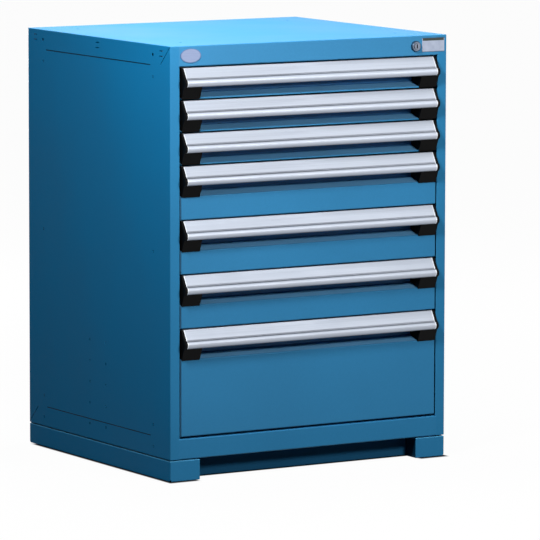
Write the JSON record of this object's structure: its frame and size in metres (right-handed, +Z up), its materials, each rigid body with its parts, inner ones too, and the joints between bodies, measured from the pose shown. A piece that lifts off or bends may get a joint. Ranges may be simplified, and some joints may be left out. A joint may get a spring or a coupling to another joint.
{
  "type": "modular drawer cabinet",
  "caption": "Sheet steel modular drawer cabinet on a recessed base, with full-width handle strips, roller slides with carriages, and a key lock that bars the drawers.",
  "frame": {"origin": "on the floor, under the middle of the cabinet's whole box, handles included", "axes": "+X to the right seen from the front, +Y to the back, +Z up"},
  "size_m": [0.762, 0.7056, 1.016],
  "materials": {
    "housing_paint": "satin powder coat, blue",
    "base_paint": "satin powder coat, blue",
    "drawer_paint": "satin powder coat, blue",
    "handle_aluminium": "satin anodised, drawn along its length",
    "cap_plastic": "moulded, fine texture",
    "zinc_steel": "bright zinc plate",
    "lock_metal": "satin nickel plate",
    "roller_plastic": "moulded, natural",
    "badge_metal": "satin, blank",
    "card": "blank card under a clear film"
  },
  "bodies": {
    "housing": {"side_panel_left": "housing_paint", "side_panel_right": "housing_paint", "top_panel": "housing_paint", "back_panel": "housing_paint", "floor_panel": "housing_paint", "base_side_left": "base_paint", "base_side_right": "base_paint", "base_kick_panel": "base_paint", "base_rear_rail": "base_paint", "base_bolts": "zinc_steel", "rail_posts": "zinc_steel", "cabinet_rails": "zinc_steel", "lock_housing": "lock_metal", "badge_plate": "badge_metal", "label_card": "card"},
    "lock_plug": {"lock_plug": "lock_metal"},
    "lock_link": {"lock_link": "zinc_steel"},
    "lock_bar": {"lock_bar": "zinc_steel"},
    "drawer_1": {"drawer_1_pan": "drawer_paint", "drawer_1_front": "drawer_paint", "drawer_1_handle": "handle_aluminium", "drawer_1_end_caps": "cap_plastic"},
    "carriage_1": {"drawer_1_carriages": "zinc_steel", "drawer_1_rollers": "roller_plastic"},
    "drawer_2": {"drawer_2_pan": "drawer_paint", "drawer_2_front": "drawer_paint", "drawer_2_handle": "handle_aluminium", "drawer_2_end_caps": "cap_plastic"},
    "carriage_2": {"drawer_2_carriages": "zinc_steel", "drawer_2_rollers": "roller_plastic"},
    "drawer_3": {"drawer_3_pan": "drawer_paint", "drawer_3_front": "drawer_paint", "drawer_3_handle": "handle_aluminium", "drawer_3_end_caps": "cap_plastic"},
    "carriage_3": {"drawer_3_carriages": "zinc_steel", "drawer_3_rollers": "roller_plastic"},
    "drawer_4": {"drawer_4_pan": "drawer_paint", "drawer_4_front": "drawer_paint", "drawer_4_handle": "handle_aluminium", "drawer_4_end_caps": "cap_plastic"},
    "carriage_4": {"drawer_4_carriages": "zinc_steel", "drawer_4_rollers": "roller_plastic"},
    "drawer_5": {"drawer_5_pan": "drawer_paint", "drawer_5_front": "drawer_paint", "drawer_5_handle": "handle_aluminium", "drawer_5_end_caps": "cap_plastic"},
    "carriage_5": {"drawer_5_carriages": "zinc_steel", "drawer_5_rollers": "roller_plastic"},
    "drawer_6": {"drawer_6_pan": "drawer_paint", "drawer_6_front": "drawer_paint", "drawer_6_handle": "handle_aluminium", "drawer_6_end_caps": "cap_plastic"},
    "carriage_6": {"drawer_6_carriages": "zinc_steel", "drawer_6_rollers": "roller_plastic"},
    "drawer_7": {"drawer_7_pan": "drawer_paint", "drawer_7_front": "drawer_paint", "drawer_7_handle": "handle_aluminium", "drawer_7_end_caps": "cap_plastic"},
    "carriage_7": {"drawer_7_carriages": "zinc_steel", "drawer_7_rollers": "roller_plastic"}
  },
  "joints": [
    {"name": "lock_turn", "type": "hinge", "parent": "housing", "child": "lock_plug", "pos_m": [0.2925, -0.33305, 0.991], "axis": [0, 1, 0], "range_deg": [0, 90]},
    {"name": "lock_link_slide", "type": "slide", "parent": "housing", "child": "lock_link", "axis": [1, 0, 0], "range_m": [0, 0.0065]},
    {"name": "lock_bar_slide", "type": "slide", "parent": "housing", "child": "lock_bar", "axis": [0, 0, 1], "range_m": [0, 0.0065]},
    {"name": "drawer_1_slide", "type": "slide", "parent": "housing", "child": "drawer_1", "axis": [0, -1, 0], "range_m": [0, 0.61]},
    {"name": "carriage_1_slide", "type": "slide", "parent": "housing", "child": "carriage_1", "axis": [0, -1, 0], "range_m": [0, 0.3051]},
    {"name": "drawer_2_slide", "type": "slide", "parent": "housing", "child": "drawer_2", "axis": [0, -1, 0], "range_m": [0, 0.61]},
    {"name": "carriage_2_slide", "type": "slide", "parent": "housing", "child": "carriage_2", "axis": [0, -1, 0], "range_m": [0, 0.3051]},
    {"name": "drawer_3_slide", "type": "slide", "parent": "housing", "child": "drawer_3", "axis": [0, -1, 0], "range_m": [0, 0.61]},
    {"name": "carriage_3_slide", "type": "slide", "parent": "housing", "child": "carriage_3", "axis": [0, -1, 0], "range_m": [0, 0.3051]},
    {"name": "drawer_4_slide", "type": "slide", "parent": "housing", "child": "drawer_4", "axis": [0, -1, 0], "range_m": [0, 0.61]},
    {"name": "carriage_4_slide", "type": "slide", "parent": "housing", "child": "carriage_4", "axis": [0, -1, 0], "range_m": [0, 0.3051]},
    {"name": "drawer_5_slide", "type": "slide", "parent": "housing", "child": "drawer_5", "axis": [0, -1, 0], "range_m": [0, 0.61]},
    {"name": "carriage_5_slide", "type": "slide", "parent": "housing", "child": "carriage_5", "axis": [0, -1, 0], "range_m": [0, 0.3051]},
    {"name": "drawer_6_slide", "type": "slide", "parent": "housing", "child": "drawer_6", "axis": [0, -1, 0], "range_m": [0, 0.61]},
    {"name": "carriage_6_slide", "type": "slide", "parent": "housing", "child": "carriage_6", "axis": [0, -1, 0], "range_m": [0, 0.3051]},
    {"name": "drawer_7_slide", "type": "slide", "parent": "housing", "child": "drawer_7", "axis": [0, -1, 0], "range_m": [0, 0.61]},
    {"name": "carriage_7_slide", "type": "slide", "parent": "housing", "child": "carriage_7", "axis": [0, -1, 0], "range_m": [0, 0.3051]}
  ],
  "couplings": [
    {"joint": "lock_turn", "follows": "lock_bar_slide", "rad_per_m": 241.66},
    {"joint": "lock_link_slide", "follows": "lock_bar_slide", "ratio": 1},
    {"joint": "carriage_1_slide", "follows": "drawer_1_slide", "ratio": 0.5},
    {"joint": "carriage_2_slide", "follows": "drawer_2_slide", "ratio": 0.5},
    {"joint": "carriage_3_slide", "follows": "drawer_3_slide", "ratio": 0.5},
    {"joint": "carriage_4_slide", "follows": "drawer_4_slide", "ratio": 0.5},
    {"joint": "carriage_5_slide", "follows": "drawer_5_slide", "ratio": 0.5},
    {"joint": "carriage_6_slide", "follows": "drawer_6_slide", "ratio": 0.5},
    {"joint": "carriage_7_slide", "follows": "drawer_7_slide", "ratio": 0.5}
  ]
}
